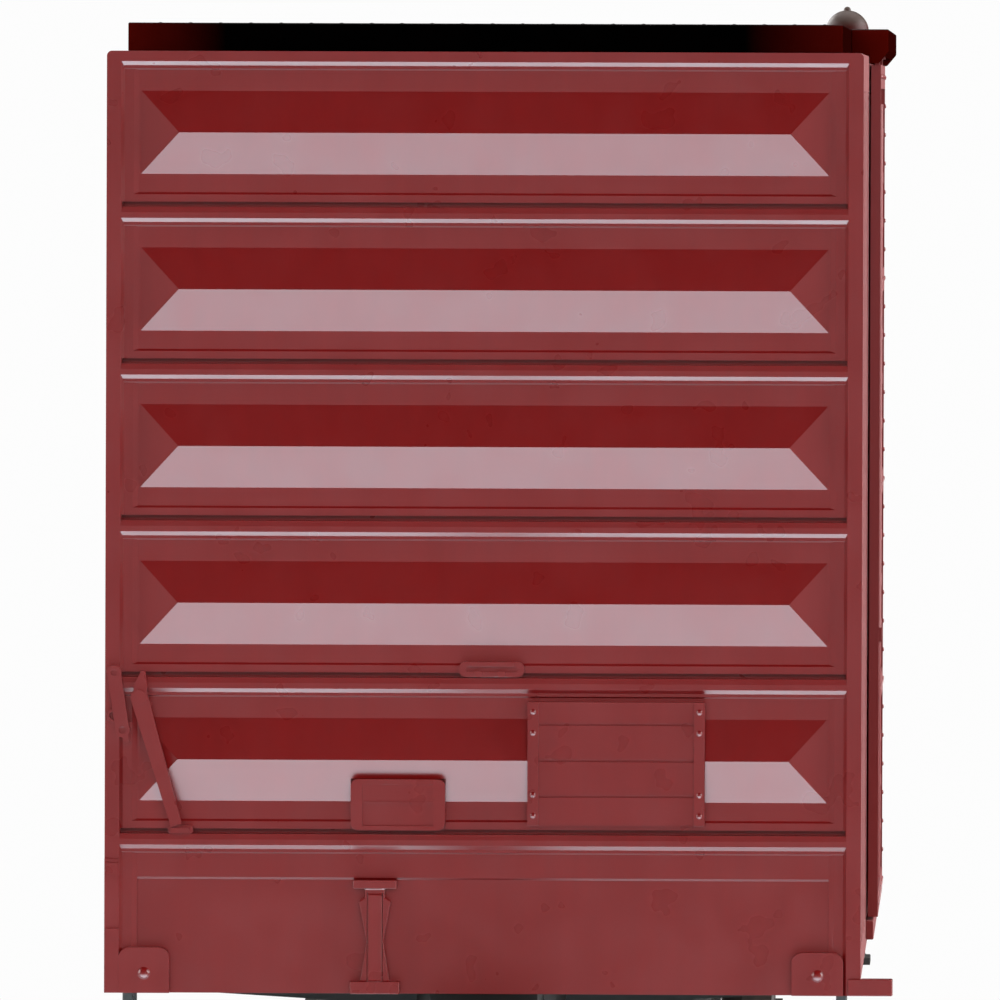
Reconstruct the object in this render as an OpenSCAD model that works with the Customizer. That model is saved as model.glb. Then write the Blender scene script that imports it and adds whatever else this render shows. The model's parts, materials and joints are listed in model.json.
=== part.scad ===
// High-cube sliding-door box car, a 1:87 railway model.
// The brake end faces -Y, the length runs along Y, +Z is up. Z = 0 is the
// lowest point of the wheel flanges. All sizes are in millimetres.

/* [Body] */
// Width over the corner posts of the ends
body_w = 36.4; // [35.4:0.1:36.6]
// Length over the frames of the two ends
body_l = 146; // [142:1:150]
// Height of the body's bottom edge above the wheel flanges
sill_z = 13.5; // [13.4:0.1:14.5]
// Height of the ends from the bottom edge to the top
body_h = 45.34; // [45.2:0.01:46.5]
// Thickness of an end
end_t = 1.6; // [1.2:0.1:2.4]
// Thickness of a side sheet
side_t = 1.1; // [0.8:0.1:1.4]
// Thickness of the floor
floor_t = 1.0; // [0.8:0.1:1.4]

/* [End ribs] */
// Number of ribbed panels on an end
rib_n = 5; // [3:1:5]
// Height from one ribbed panel to the next
panel_pitch = 7.54; // [7.2:0.02:7.6]
// Height of a panel's recess
recess_h = 7.0; // [6.4:0.02:7.1]
// Depth of a recess below the frame
recess_d = 0.35; // [0.3:0.05:0.6]
// Height of a rib's foot
rib_h = 4.0; // [3:0.1:5]
// Length of a rib's foot
rib_l = 33.1; // [28:0.1:33.2]
// Length of a rib's ridge
ridge_l = 29.4; // [24:0.1:30]
// How far the ridge stands out of the recess
rib_out = 0.6; // [0.3:0.05:0.8]

/* [Roof] */
// Width of the roof
roof_w = 34.4; // [33.6:0.1:34.8]
// Height of the roof above the ends
roof_h = 1.36; // [1.2:0.02:1.8]
// Number of roof panels
roof_panels = 12; // [8:1:14]

/* [Sides and doors] */
// Distance of the side posts' outer faces from the centre line
post_x = 18.1; // [18.0:0.05:18.1]
// Number of posts between a door post and a corner
post_n = 5; // [3:1:6]
// Width of the doorway
doorway_w = 35; // [28:0.5:35]
// Width of a door
door_w = 36.6; // [35.6:0.1:36.8]
// Distance of a door's outer face from the centre line
door_x = 18.7; // [18.6:0.05:18.7]
// Travel of a door
door_travel = 34.5; // [20:0.5:34.5]
// Distance of the door hood's outer face from the centre line
hood_x = 19.1; // [19.05:0.05:19.4]

/* [Running gear] */
// Distance of each truck's pivot from the middle of the car
truck_y = 53.5; // [50:0.5:54]
// Distance between a truck's two axles
wheelbase = 19.8; // [18:0.2:20]
// Radius of a wheel over its flange
flange_r = 5.4; // [5.2:0.05:5.5]
// Radius of a wheel's tread
tread_r = 4.81; // [4.6:0.01:4.9]
// Distance between the backs of two wheels on one axle
back_to_back = 14.4; // [14.2:0.1:14.6]
// Length of an axle over its points
axle_l = 25.8; // [25.6:0.1:26]

/* [Couplers] */
// Height of the couplers' centre line
coupler_z = 10.55; // [10.4:0.05:10.6]
// Distance of a coupler's pivot from the end frame
coupler_set = 5.0; // [4.5:0.1:5.5]

/* [Hidden] */
$fn = 48;

oxide = [0.50, 0.16, 0.17];
soot = [0.10, 0.07, 0.07];
frame_black = [0.13, 0.12, 0.12];
steel = [0.66, 0.66, 0.68];
bronze = [0.45, 0.33, 0.20];
brass = [0.78, 0.60, 0.30];

half_l = body_l / 2;
half_w = body_w / 2;
top_z = sill_z + body_h;
roof_z = top_z + roof_h;
sheet_x = post_x - 0.6;
inner_x = sheet_x - side_t;
inner_y = half_l - end_t;
floor_z = sill_z + floor_t;
eps = 0.01;

rail_top = 0.50;
rib_drop = 3.42;
first_recess = top_z - rail_top;
recess_x = half_w - 0.7;
step_d = 0.75 * recess_d;
step_high = 0.46 * recess_d;
panel_d = recess_d + 0.12;
slope_low = 0.24;
slope_high = 0.19;
slope_side = 0.16;
slope_step = 0.10;
ledge_low = 0.60;
// narrow slot above each rail: depth, and how far it stops short of the recess's sides
groove_d = 0.9;
groove_inset = 0.05;
// how far a rail's face rolls back towards the recess above it: depth, height
roll = [0.05, 0.26];
side_ramp = 0.25;
high_ramp = 0.07;
ledge_high = 0.34;
ledge_side = 0.60;
bottom_recess = first_recess - rib_n * panel_pitch;
kick_z = bottom_recess - 1.66;

doorway_low = sill_z + 1.5;
doorway_high = top_z - 1.84;
door_low = doorway_low + 0.1;
door_in = post_x + 0.1;
hood_low = top_z - 0.36;
door_high = hood_low - 0.08;
hood_wall = 0.25;
channel_x = [door_in, hood_x - hood_wall];
bracket_x = half_w + 1.55;
hood_from = -door_w / 2 - 1.6;
hood_to = door_w / 2 + door_travel + 1.6;

axle_z = flange_r;
pivot_y = half_l - coupler_set;

// ---------- helpers ----------

// A block between two corners
module block(low, high) {
    translate(low) cube(high - low);
}

// The same shape on the right and mirrored on the left
module both_sides() {
    children();
    mirror([1, 0, 0]) children();
}

// The same shape at the brake end and turned half round at the other end
module both_ends() {
    children();
    rotate(180) children();
}

// An outline drawn in X and Z, thickened between two depths behind the brake end's frame
module on_end(deep, shallow) {
    translate([0, deep - half_l, 0]) rotate([90, 0, 0]) linear_extrude(deep - shallow) children();
}

// A rectangle with round corners, centred
module round_rect(w, h, r) {
    square([w - 2 * r, h], center = true);
    square([w, h - 2 * r], center = true);
    for (x = [-1, 1], y = [-1, 1])
        translate([x * (w / 2 - r), y * (h / 2 - r)]) circle(r);
}

// A round bar along X, Y or Z from a point
module bar_x(from, length, r) { translate(from) rotate([0, 90, 0]) cylinder(r = r, h = length); }
module bar_y(from, length, r) { translate(from) rotate([-90, 0, 0]) cylinder(r = r, h = length); }
module bar_z(from, length, r) { translate(from) cylinder(r = r, h = length); }

// A round-head rivet on the brake end, half sunk in the face at a depth
module rivet(x, z, r, depth) {
    translate([x, depth + r / 2 - half_l, z]) sphere(r);
}

// ---------- ends ----------

function recess_top(i) = first_recess - i * panel_pitch;

// One stepped recess with sloping walls: its side profile and its plan, crossed
module recess(z_top) {
    crossed(
        side = concat(low_profile(z_top - recess_h),
                      flipped(recess_wall(z_top, -1, step_high, slope_high, ledge_high, high_ramp))),
        plan = side_walls()
    );
}

// Depth profile of a wall from an edge inwards: slope, ledge, then a ramp down to the recess's floor
function recess_wall(edge, way, step, slope, ledge, ramp) = [
    [-1, edge - way * slope / step], [0, edge], [step, edge + way * slope],
    [step, edge + way * ledge], [recess_d, edge + way * (ledge + ramp)]
];

// The wall below a recess: a rolled edge, a steep slope, the ledge and its step
function low_profile(edge) = [
    [-1, edge - roll[1]], [0, edge - roll[1]], [roll[0], edge], [step_d, edge + slope_low],
    [step_d, edge + ledge_low], [recess_d, edge + ledge_low + slope_step]
];

// The narrow slot where a rail meets the recess above it
module groove(edge) {
    x = recess_x - groove_inset;
    block([-x, -half_l - 1, edge], [x, groove_d - half_l, edge + slope_low]);
}

function side_wall(way) = recess_wall(-way * recess_x, way, step_d, slope_side, ledge_side, side_ramp);
function side_walls() = concat(side_wall(1), flipped(side_wall(-1)));
function flipped(points) = [for (i = [len(points) - 1 : -1 : 0]) points[i]];

// The solid common to a side profile [depth, z] and a plan [depth, x]
module crossed(side, plan) {
    z_mid = (min([for (p = side) p.y]) + max([for (p = side) p.y])) / 2;
    z_span = max([for (p = side) p.y]) - min([for (p = side) p.y]) + 1;
    intersection() {
        translate([-half_w - 1, 0, 0]) rotate([90, 0, 90]) linear_extrude(body_w + 2)
            polygon([for (p = side) [p.x - half_l, p.y]]);
        translate([0, 0, z_mid - z_span / 2]) linear_extrude(z_span)
            polygon([for (p = plan) [p.y, p.x - half_l]]);
    }
}

// The solid wall below a recess's lower edge, as a bar along X
module low_wall(x_from, length, edge) {
    wall = low_profile(edge);
    last = len(wall) - 1;
    outline = concat([[0, edge - 1]], [for (i = [1 : last]) wall[i]],
                     [[end_t, wall[last].y], [end_t, edge - 1]]);
    translate([x_from, -half_l, 0]) rotate([90, 0, 90]) linear_extrude(length) polygon(outline);
}

// A hip-shaped rib
module hip_rib(z_top) {
    mid_z = z_top - rib_drop;
    root = recess_d + 0.3;
    crest = recess_d - rib_out;
    crossed(
        side = [[root, mid_z - rib_h / 2], [recess_d, mid_z - rib_h / 2], [crest, mid_z],
                [recess_d, mid_z + rib_h / 2], [root, mid_z + rib_h / 2]],
        plan = [[root, -rib_l / 2], [recess_d, -rib_l / 2], [crest, -ridge_l / 2],
                [crest, ridge_l / 2], [recess_d, rib_l / 2], [root, rib_l / 2]]
    );
}

// The plain panel below the ribs, open at the bottom, with a small kick part way down
module bottom_panel() {
    out = sill_z - 1;
    floor_x = recess_x - ledge_side - side_ramp;
    crossed(
        side = concat([[-1, out], [panel_d, out], [panel_d, kick_z], [recess_d, kick_z + slope_step]],
                      flipped(recess_wall(bottom_recess, -1, step_high, slope_high, ledge_high, high_ramp))),
        plan = concat(side_wall(1), [[1, -floor_x], [1, floor_x]], flipped(side_wall(-1)))
    );
}

module end_blank() {
    r = 0.25;
    on_end(end_t, 0) {
        translate([-half_w, sill_z]) square([body_w, body_h - r]);
        translate([r - half_w, sill_z]) square([body_w - 2 * r, body_h]);
        for (x = [-1, 1]) translate([x * (half_w - r), top_z - r]) circle(r);
    }
}

module ribbed_end() {
    difference() {
        end_blank();
        for (i = [0 : rib_n - 1]) recess(recess_top(i));
        for (i = [0 : rib_n - 1]) groove(recess_top(i) - recess_h);
        bottom_panel();
    }
    for (i = [0 : rib_n - 1]) hip_rib(recess_top(i));
}

// The reinforced foot of the left stile on the brake end
module stile_foot() {
    foot_top = sill_z + 6.44;
    on_end(0, -0.12) translate([-half_w, sill_z]) square([half_w - recess_x, foot_top - sill_z]);
    on_end(-0.12, -0.24) translate([-half_w + 0.1, foot_top - 0.81]) square([0.6, 0.62]);
    on_end(-0.12, -0.24) translate([-half_w + 0.1, sill_z + 2.6]) square([0.6, 0.5]);
}

module end_brake() {
    color(oxide) {
        difference() {
            ribbed_end();
            board_pocket(tack_x, tack_z, tack_size);
            board_pocket(route_x, route_z, route_size);
            on_end(panel_d, -1) pad_outline(left_pad);
            on_end(panel_d, -1) pad_outline(right_pad);
        }
        stile_foot();
    }
}

module end_plain() {
    color(oxide) rotate(180) ribbed_end();
}

// ---------- details of the brake end ----------

board_front = -0.45;
board_back = recess_d;
tack_x = 6.42;
tack_z = 24.62;
tack_size = [8.52, 5.94];
route_x = -4.07;
route_z = 22.62;
route_size = [4.54, 2.46];

// Room for a board in the ribs behind it
module board_pocket(x, z, size) {
    on_end(board_back, -1) translate([x, z]) square(size + 0.02 * [1, 1], center = true);
}

module tack_board() {
    stile_w = 0.52;
    groove_zs = [26.52, 24.77, 23.06];
    plank_front = board_front + 0.18;
    color(oxide) {
        difference() {
            on_end(board_back, plank_front)
                translate([tack_x, tack_z]) square(tack_size, center = true);
            for (z = groove_zs)
                on_end(plank_front + 0.1, plank_front - 1)
                    translate([tack_x, z]) square([tack_size.x + 1, 0.12], center = true);
        }
        for (side = [-1, 1]) {
            x = tack_x + side * (tack_size.x - stile_w) / 2;
            on_end(board_back, board_front)
                translate([x, tack_z]) square([stile_w, tack_size.y], center = true);
            for (z = [27.12, 26.11, 23.13, 22.13]) rivet(x, z, 0.16, board_front);
        }
    }
}

module route_board() {
    field_w = 3.4;
    // low edge, high edge and depth of each sunk field
    fields = [[21.6, 22.7, 0.12], [22.79, 23.6, 0.05]];
    color(oxide) difference() {
        on_end(board_back, board_front)
            translate([route_x, route_z]) round_rect(route_size.x, route_size.y, 0.35);
        for (field = fields)
            on_end(board_front + field[2], board_front - 1)
                translate([route_x - field_w / 2, field[0]]) square([field_w, field[1] - field[0]]);
    }
}

// Small oval bracket with a bar and two lugs below the fourth rib, standing on the recess's ledge
module end_bracket() {
    mid_x = 0.41;
    base_z = recess_top(3) - recess_h;
    color(oxide) difference() {
        bracket_shape(mid_x, base_z);
        low_wall(mid_x - 5, 10, base_z);
    }
}

module bracket_shape(mid_x, base_z) {
    size = [3.17, 0.76];
    plate_z = base_z + 0.43;
    difference() {
        on_end(recess_d, -0.12) translate([mid_x, plate_z]) round_rect(size.x, size.y, 0.37);
        on_end(0, -1) translate([mid_x, plate_z]) round_rect(size.x - 0.7, 0.26, 0.12);
    }
    on_end(-0.12, -0.32) translate([mid_x, plate_z + 0.24]) round_rect(2.2, 0.2, 0.09);
    for (x = [-0.63, 0.47])
        on_end(-0.12, -0.32) translate([mid_x + x, base_z + 0.2]) round_rect(0.38, 0.28, 0.1);
}

// Waisted bracket of the brake rod on the bottom panel, between a shelf and a foot plate
module rod_bracket() {
    mid_x = -5.17;
    shelf = [2.12, 0.4];
    foot = [2.4, 0.6];
    // half width and height of each corner of the waist
    waist = [[0.48, 18.7], [0.48, 18.15], [0.78, 17.95], [0.4, 16.0], [0.7, 14.1]];
    outline = concat(waist, [for (i = [len(waist) - 1 : -1 : 0]) [-waist[i].x, waist[i].y]]);
    color(oxide) translate([mid_x, 0, 0]) {
        on_end(panel_d, -0.1) polygon(outline);
        on_end(-0.1, -0.2) translate([0, 16.2]) square([0.62, 4.2], center = true);
        on_end(panel_d, -0.3) translate([0, kick_z - 0.2]) square(shelf, center = true);
        on_end(panel_d, -0.28) translate([-foot.x / 2, sill_z]) square(foot);
    }
}

// Corner pads: left edge, right edge, height
left_pad = [-17.5, -15.07, 2.2];
right_pad = [14.89, 17.37, 2.07];

module pad_outline(pad) {
    r = 0.5;
    translate([pad[0], sill_z]) square([pad[1] - pad[0], pad[2] - r]);
    translate([pad[0] + r, sill_z]) square([pad[1] - pad[0] - 2 * r, pad[2]]);
    for (x = [pad[0] + r, pad[1] - r]) translate([x, sill_z + pad[2] - r]) circle(r);
}

module corner_pads() {
    front = -0.12;
    color(oxide) for (pad = [left_pad, right_pad]) {
        on_end(panel_d, front) pad_outline(pad);
        rivet((pad[0] + pad[1]) / 2, sill_z + 0.95, 0.34, front);
    }
}

// Short bars out of the right-hand corner of each end
module pull_brackets() {
    color(oxide) both_ends() {
        block([half_w, -half_l, sill_z], [bracket_x, 1.2 - half_l, sill_z + 0.8]);
        block([half_w - 0.6, -half_l - 0.14, sill_z], [bracket_x, -half_l, sill_z + 0.8]);
    }
}

// Long tapered hand-brake lever, laid over the fifth rib: foot, collar and tip
lever_foot_at = [-14.72, 21.6];
lever_collar = [-16.53, 27.75];
lever_top = [-16.33, 29.06];
lever_back = -0.2;
lever_front = -0.62;

function lean_to(low, high) = atan2(low.x - high.x, high.y - low.y);

module brake_lever() {
    shaft_l = norm(lever_collar - lever_foot_at);
    head_l = norm(lever_top - lever_collar);
    color(oxide) {
        on_end(lever_back, lever_front) {
            translate(lever_foot_at) rotate(lean_to(lever_foot_at, lever_collar))
                polygon([[-0.27, 0], [0.27, 0], [0.42, shaft_l], [-0.42, shaft_l]]);
            translate(lever_collar) circle(0.42);
            translate(lever_collar) rotate(lean_to(lever_collar, lever_top))
                polygon([[-0.36, 0], [0.36, 0], [0.3, 0.5 * head_l], [0.1, head_l - 0.05],
                         [-0.1, head_l - 0.05], [-0.3, 0.5 * head_l]]);
        }
        on_end(lever_front, lever_front - 0.1) translate(lever_collar) circle(0.36);
        on_end(recess_d, lever_back) translate(lever_collar + [0.38, -0.36]) circle(0.2);
    }
}

module lever_foot() {
    color(oxide) {
        difference() {
            on_end(step_d, -0.2) translate([-14.54, 21.39]) round_rect(1.2, 0.4, 0.12);
            low_wall(-16, 3, recess_top(rib_n - 1) - recess_h);
        }
        on_end(-0.2, -0.45) polygon([[-15.0, 21.2], [-14.1, 21.3], [-14.1, 21.46], [-15.0, 21.46]]);
    }
}

module brake_link() {
    top = [-17.75, 28.92];
    low = [-17.34, 26.16];
    tail = [-17.15, 25.57];
    hook = [-17.77, 26.85];
    lean = lean_to(low, top);
    length = norm(top - low);
    color(oxide) {
        difference() {
            on_end(0, -0.34) {
                translate(low) rotate(lean) translate([-0.33, 0.15]) square([0.66, length - 0.15]);
                translate(top) circle(0.35);
                translate(low) circle(0.36);
                translate(tail) rotate(lean) translate([-0.15, 0]) square([0.3, 0.6]);
            }
            on_end(-0.2, -1) translate(low) circle(0.17);
            on_end(-0.24, -1) translate(top) circle(0.15);
        }
        on_end(step_d, 0) translate(low + [0.25, 0.1]) square([0.2, 0.3]);
        on_end(0, -0.26) difference() {
            translate(hook) circle(0.34);
            translate(hook) circle(0.2);
            translate(hook - [0, 0.25]) square([1, 1]);
        }
    }
}

// ---------- sides, doors and tracks ----------

module side() {
    door_post = 1.6;
    corner_post = 1.5;
    post_w = 1.3;
    bay = (inner_y - doorway_w / 2 - door_post - corner_post) / (post_n + 1);
    difference() {
        block([inner_x, -inner_y, sill_z], [sheet_x, inner_y, top_z]);
        block([inner_x - 1, -doorway_w / 2, doorway_low], [post_x, doorway_w / 2, doorway_high]);
    }
    // side sill and top chord
    block([sheet_x, -inner_y, sill_z], [post_x, inner_y, doorway_low]);
    block([sheet_x, -inner_y, doorway_high], [post_x, inner_y, top_z]);
    for (end = [-1, 1]) {
        span = [doorway_w / 2, inner_y];
        for (y = [span[0] + door_post / 2, span[1] - corner_post / 2]) translate([0, end * y, 0])
            block([sheet_x, 0.05 - door_post / 2, doorway_low],
                  [post_x, door_post / 2 - 0.05, doorway_high]);
        for (i = [1 : post_n])
            translate([0, end * (span[0] + door_post + i * bay), doorway_low]) post(post_w);
    }
}

// Hat-shaped exterior post, with its plan drawn once
module post(w) {
    flange = 0.35;
    linear_extrude(doorway_high - doorway_low)
        polygon([[sheet_x, -w / 2 - flange], [sheet_x + 0.12, -w / 2 - flange], [sheet_x + 0.12, -w / 2],
                 [post_x, -w / 2 + 0.2], [post_x, w / 2 - 0.2], [sheet_x + 0.12, w / 2],
                 [sheet_x + 0.12, w / 2 + flange], [sheet_x, w / 2 + flange]]);
}

module side_right() { color(oxide) side(); }
module side_left() { color(oxide) mirror([1, 0, 0]) side(); }

// Sliding door with pressed panels, hung from two hangers
module door() {
    frame_w = 1.2;
    panel_n = 4;
    panel_h = (door_high - door_low - frame_w * (panel_n + 1)) / panel_n;
    skin = door_in + 0.2;
    difference() {
        block([door_in, -door_w / 2, door_low], [door_x, door_w / 2, door_high]);
        for (i = [0 : panel_n - 1])
            translate([0, 0, door_low + frame_w + i * (panel_h + frame_w)])
                block([skin, -door_w / 2 + frame_w, 0], [door_x + 1, door_w / 2 - frame_w, panel_h]);
    }
    // pressed corrugations in each panel
    for (i = [0 : panel_n - 1], k = [1 : 3])
        translate([0, 0, door_low + frame_w + i * (panel_h + frame_w) + k * panel_h / 4])
            corrugation(door_w - 2 * frame_w - 1.6, skin);
    // hangers and their rollers, clear of the hood's channel
    hanger_x = channel_x[0] + 0.15;
    roller_l = channel_x[1] - 0.1 - hanger_x;
    for (y = [-0.36, 0.36] * door_w) {
        block([hanger_x, y - 1.2, door_high], [hanger_x + 0.25, y + 1.2, door_high + 0.95]);
        bar_x([hanger_x, y, door_high + 0.7], roller_l, 0.35);
    }
    // locking bar at the closing edge
    bar_z([door_x - 0.08, -door_w / 2 + 0.6, door_low + 2], door_high - door_low - 4, 0.2);
    block([door_x - 0.1, -door_w / 2 + 0.3, door_low + 14],
          [door_x + 0.15, -door_w / 2 + 3.6, door_low + 14.7]);
}

module corrugation(length, skin) {
    h = 1.5;
    out = 0.25;
    intersection() {
        translate([0, length / 2, 0]) rotate([90, 0, 0]) linear_extrude(length)
            polygon([[skin - 0.1, -h / 2], [skin, -h / 2], [skin + out, -h / 6], [skin + out, h / 6],
                     [skin, h / 2], [skin - 0.1, h / 2]]);
        translate([0, 0, -h]) linear_extrude(2 * h)
            polygon([[skin - 0.1, -length / 2], [skin, -length / 2], [skin + out, 1 - length / 2],
                     [skin + out, length / 2 - 1], [skin, length / 2], [skin - 0.1, length / 2]]);
    }
}

module door_right() { color(oxide) door(); }
module door_left() { color(oxide) mirror([1, 0, 0]) door(); }

// Hood over the door hangers, closed at both ends
module upper_track() {
    end_wall = 0.5;
    ceiling = 0.6;
    bevel = [0.5, 0.6];
    difference() {
        translate([0, hood_to, 0]) rotate([90, 0, 0]) linear_extrude(hood_to - hood_from)
            polygon([[roof_w / 2, top_z], [roof_w / 2, roof_z], [hood_x, roof_z],
                     [hood_x, hood_low + bevel.y], [hood_x - bevel.x, hood_low], [post_x, hood_low],
                     [post_x, top_z]]);
        block([channel_x[0], hood_from + end_wall, hood_low - 1],
              [channel_x[1], hood_to - end_wall, roof_z - ceiling]);
    }
}

module upper_track_right() { color(soot) upper_track(); }
module upper_track_left() { color(soot) mirror([1, 0, 0]) upper_track(); }

// Rail under the door
module lower_track() {
    block([post_x, hood_from, doorway_low - 1.0], [door_x - 0.2, hood_to, doorway_low - 0.05]);
}

module lower_track_right() { color(oxide) lower_track(); }
module lower_track_left() { color(oxide) mirror([1, 0, 0]) lower_track(); }

// One ladder rung or hand hold on the right side, standing off the sheet
module rung(y, z, length) {
    r = 0.17;
    x = post_x - 0.2;
    bar_y([x, y - length / 2, z], length, r);
    for (end = [-1, 1]) bar_x([sheet_x, y + end * (length / 2 - r), z], x - sheet_x, r);
}

module ladders() {
    rung_n = 8;
    rung_l = 4.4;
    y = inner_y - 5.0;
    color(oxide) both_ends() {
        for (i = [0 : rung_n - 1]) rung(y, sill_z + 3.5 + i * 5.1, rung_l);
        for (i = [0 : 1]) rung(-y, sill_z + 3.5 + i * 5.1, rung_l);
    }
}

// Stirrup steps below the four corners
module sill_steps() {
    step_y = inner_y - 5.0;
    drop = 4.4;
    color(oxide) both_sides() for (end = [-1, 1]) translate([0, end * step_y, 0]) {
        for (s = [-1, 1])
            block([sheet_x - 0.5, s * 2.2 - 0.2, sill_z - drop], [sheet_x, s * 2.2 + 0.2, sill_z]);
        block([sheet_x - 0.5, -2.4, sill_z - drop], [sheet_x + 0.3, 2.4, sill_z - drop + 0.4]);
    }
}

// ---------- roof ----------

module roof() {
    seam = 1.0;
    margin = 1.3;
    roof_l = body_l - 1;
    bay = (roof_l - 2 * margin) / roof_panels;
    sunk = 0.3;
    color(soot) difference() {
        block([-roof_w / 2, -roof_l / 2, top_z], [roof_w / 2, roof_l / 2, roof_z]);
        for (i = [0 : roof_panels - 1], side = [-1, 1])
            translate([side * roof_w / 4, margin + (i + 0.5) * bay - roof_l / 2, roof_z - sunk])
                mirror([side < 0 ? 1 : 0, 0, 0]) roof_panel(roof_w / 2 - 1.3, bay - seam, sunk + 1);
    }
}

// Sunk panel with one diagonal rib left standing in it
module roof_panel(w, l, h) {
    rib = 0.7;
    lean = atan2(l - 1.4, w - 1.6);
    linear_extrude(h) difference() {
        square([w, l], center = true);
        rotate(lean) square([norm([w - 1.6, l - 1.4]), rib], center = true);
    }
}

// Domed vent cap on a neck
module roof_vent() {
    cap_r = 1.2;
    cap_z = 0.2;
    color(soot) translate([roof_w / 2 - 0.9, half_l - 2.6, roof_z]) rotate_extrude() {
        square([0.9, cap_z]);
        intersection() {
            translate([0, cap_z]) circle(cap_r);
            translate([0, cap_z - 0.08]) square(2 * cap_r);
        }
        intersection() {
            translate([0, cap_z + cap_r]) circle(0.2);
            square(2 * cap_r);
        }
    }
}

// ---------- underframe ----------

module floor() {
    color(frame_black) block([-inner_x, -inner_y, sill_z], [inner_x, inner_y, floor_z]);
}

sill_drop = 1.4;
box_top = sill_z - sill_drop;

module centre_sill() {
    web_x = 2.6;
    sill_l = 2 * (half_l - 3);
    color(frame_black) difference() {
        union() {
            block([-web_x, -sill_l / 2, box_top], [web_x, sill_l / 2, sill_z]);
            block([-web_x - 0.6, -sill_l / 2 + 12, box_top], [web_x + 0.6, sill_l / 2 - 12, box_top + 0.3]);
        }
        for (end = [-1, 1]) {
            translate([0, end * pivot_y, box_top - eps]) cylinder(r = screw_r, h = 1.1);
            translate([0, end * truck_y, box_top - 1]) cylinder(r = 4.1, h = sill_drop + 2);
        }
    }
}

screw_r = 0.7;
truck_screw_r = 1.0;

// Cross members over the trucks, with a round boss for the pivot screw
module body_bolsters() {
    boss_z = 11.75;
    color(frame_black) for (end = [-1, 1]) translate([0, end * truck_y, 0]) difference() {
        union() {
            translate([0, 0, boss_z]) cylinder(r = 4.0, h = sill_z - boss_z);
            both_sides() translate([0, 1.6, 0]) rotate([90, 0, 0]) linear_extrude(3.2)
                polygon([[3, sill_z], [inner_x, sill_z], [inner_x, sill_z - 0.6], [4.5, sill_z - 1.3],
                         [3, sill_z - 1.3]]);
        }
        translate([0, 0, boss_z - 1]) cylinder(r = truck_screw_r, h = sill_z - boss_z + 0.7);
    }
}

module cross_bearers() {
    color(frame_black) both_sides() for (y = [-34, -14, 14, 34])
        translate([0, y + 0.6, 0]) rotate([90, 0, 0]) linear_extrude(1.2)
            polygon([[3.2, sill_z], [inner_x, sill_z], [inner_x, sill_z - 0.4], [3.2, sill_z - 1.3]]);
}

module weight_plate() {
    color(steel) block([-13, -60, floor_z], [13, 60, floor_z + 1.0]);
}

module brake_cylinder() {
    r = 1.9;
    color(frame_black) {
        translate([8, -3, 11.2]) rotate([90, 0, 0]) rotate_extrude()
            polygon([[0, -0.6], [0.5, -0.6], [0.6, 0], [1.5, 0], [r + 0.35, 0.3], [r + 0.35, 0.8],
                     [r, 0.8], [r, 5.2], [r + 0.35, 5.2], [r + 0.35, 5.7], [1.4, 6.2], [0, 6.2]]);
        block([7.2, -7.5, 12.6], [8.8, -4.5, sill_z]);
        bar_y([8, -11.3, 11.2], 2.2, 0.3);
    }
}

module air_reservoir() {
    r = 2.1;
    color(frame_black) {
        translate([-8.5, -5, 11.2]) rotate([-90, 0, 0]) rotate_extrude()
            polygon([[0, 0], [0.9, 0.15], [1.7, 0.6], [r, 1.3], [r, 4.9], [r + 0.15, 4.9], [r + 0.15, 5.1],
                     [r, 5.1], [r, 8.7], [1.7, 9.4], [0.9, 9.85], [0, 10]]);
        for (y = [-2.6, 1.6]) block([-9.3, y, 12.6], [-7.7, y + 1, sill_z]);
    }
}

module control_valve() {
    color(frame_black) {
        block([-7.6, 17, 11.2], [-5.2, 19.2, sill_z]);
        bar_x([-8.6, 18.1, 12.2], 4.4, 0.75);
        bar_z([-6.4, 18.1, 10.2], 1.2, 0.8);
    }
}

// Train line along the centre sill, brake rods and their levers
module brake_rigging() {
    rod_z = 11.3;
    rod_r = 0.2;
    line = [5.4, 11.75];
    line_l = 90;
    lever_y = [-11.7, 10];
    color(frame_black) {
        bar_y([line.x, -line_l / 2, line.y], line_l, 0.3);
        for (y = [-44.7, -24, 0, 24, 44.7]) bar_z([line.x, y, line.y], sill_z - line.y, 0.3);
        // cylinder lever, floating lever and the rod between them
        block([-4, lever_y[0] - 0.4, rod_z - 0.2], [8.4, lever_y[0] + 0.4, rod_z + 0.2]);
        block([-4, lever_y[1] - 0.4, rod_z - 0.2], [4.4, lever_y[1] + 0.4, rod_z + 0.2]);
        bar_y([-3.6, lever_y[0], rod_z], lever_y[1] - lever_y[0], rod_r);
        // rods to the trucks, with their hangers
        bar_y([3.9, lever_y[1], rod_z], 30, rod_r);
        bar_y([2.0, -42, rod_z], 42 + lever_y[0], rod_r);
        for (y = lever_y) bar_z([-3.7, y, rod_z], sill_z - rod_z, rod_r);
        bar_z([3.9, 39, rod_z], sill_z - rod_z, rod_r);
        bar_z([2.0, -40, rod_z], box_top - rod_z, rod_r);
    }
}

// ---------- couplers, drawn at the brake end ----------

box_x = 3.8;
box_low = coupler_z - 1.55;
lid_t = 0.5;
post_r = 1.1;
mouth_y = -half_l - 1.5;
box_back = 3.6 - pivot_y;

module coupler_box() {
    wall = 0.6;
    roof_low = box_top - 0.5;
    difference() {
        union() {
            difference() {
                block([-box_x, mouth_y, box_low + lid_t], [box_x, box_back, box_top]);
                block([wall - box_x, mouth_y - 1, box_low - 1], [box_x - wall, box_back - wall, roof_low]);
            }
            translate([0, -pivot_y, box_low + lid_t])
                cylinder(r = post_r, h = roof_low - box_low - lid_t + eps);
        }
        translate([0, -pivot_y, 0]) cylinder(r = screw_r, h = sill_z);
    }
}

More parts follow.
